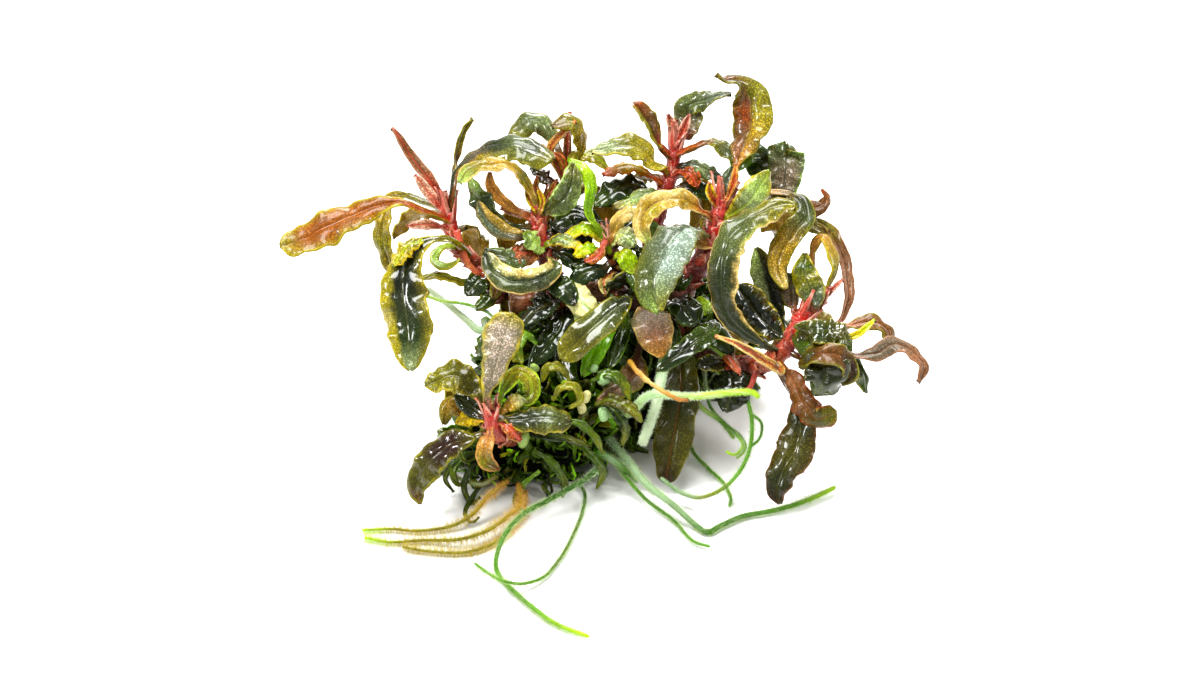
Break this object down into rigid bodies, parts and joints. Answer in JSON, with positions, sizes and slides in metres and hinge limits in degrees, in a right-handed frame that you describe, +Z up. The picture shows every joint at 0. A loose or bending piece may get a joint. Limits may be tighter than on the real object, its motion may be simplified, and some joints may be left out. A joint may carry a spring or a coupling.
{
  "type": "bucephalandra plant clump",
  "caption": "Bare clump of an epiphytic aquarium plant: wavy lance-shaped leaves on creeping rhizomes over low leafy growth, with long trailing roots.",
  "frame": {"origin": "centre of the clump's footprint on the surface that it lies on", "axes": "+X to the right along the clump's longest side, +Y to its back, +Z up"},
  "size_m": [0.0949, 0.0766, 0.0521],
  "materials": {
    "leaf_green": "gloss",
    "leaf_slate": "gloss",
    "leaf_olive": "gloss",
    "leaf_ochre": "satin",
    "leaf_brown": "gloss",
    "leaf_dark": "gloss",
    "shoot_red": "satin",
    "rhizome": "satin",
    "root": "matte",
    "root_white": "matte",
    "undergrowth": "satin"
  },
  "bodies": {
    "root": {"leaf_centre_shiny": "leaf_green", "leaf_centre_striped": "leaf_green", "leaf_left_hanging_front": "leaf_green", "leaf_lower_left_long": "leaf_green", "leaf_middle_crescent": "leaf_green", "leaf_right_long_arch": "leaf_green", "leaf_upper_right_pale": "leaf_green", "leaf_left_arch": "leaf_slate", "leaf_lower_left_right": "leaf_slate", "leaf_middle_upright": "leaf_slate", "leaf_right_folded": "leaf_slate", "leaf_right_purple": "leaf_slate", "leaf_top_slate": "leaf_slate", "leaf_upper_right_broad": "leaf_slate", "leaf_upper_right_frilly": "leaf_slate", "leaf_left_hanging_back": "leaf_olive", "leaf_lower_left_upright": "leaf_olive", "leaf_top_folded": "leaf_olive", "leaf_top_yellow": "leaf_olive", "leaf_upper_right_hanging": "leaf_olive", "leaf_upper_right_tall": "leaf_olive", "leaf_middle_arch": "leaf_ochre", "leaf_upper_right_ochre": "leaf_ochre", "stalk_dead": "leaf_ochre", "leaf_centre_long": "leaf_brown", "leaf_centre_low": "leaf_brown", "leaf_centre_pink": "leaf_brown", "leaf_far_left": "leaf_brown", "leaf_far_right_lower": "leaf_brown", "leaf_far_right_upper": "leaf_brown", "leaf_right_pink": "leaf_brown", "leaf_centre_dark": "leaf_dark", "leaf_centre_glossy": "leaf_dark", "leaf_lower_left_dark": "leaf_dark", "leaf_right_ball": "leaf_dark", "leaf_right_black": "leaf_dark", "leaf_right_scalloped": "leaf_dark", "shoot_left": "shoot_red", "shoot_lower_left": "shoot_red", "shoot_middle": "shoot_red", "shoot_right": "shoot_red", "shoot_top": "shoot_red", "shoot_upper_right": "shoot_red", "rhizome_centre": "rhizome", "shoot_back": "rhizome", "shoot_centre": "rhizome", "root_front_long": "root", "root_front_loop": "root", "root_left_lower": "root", "root_left_middle": "root", "root_left_upper": "root", "root_pale_left": "root", "root_right_hook": "root", "root_right_loop": "root", "root_right_second": "root", "root_right_thick": "root", "root_right_thin": "root", "root_white_level": "root_white", "root_white_upright": "root_white", "undergrowth": "undergrowth"}
  },
  "joints": []
}
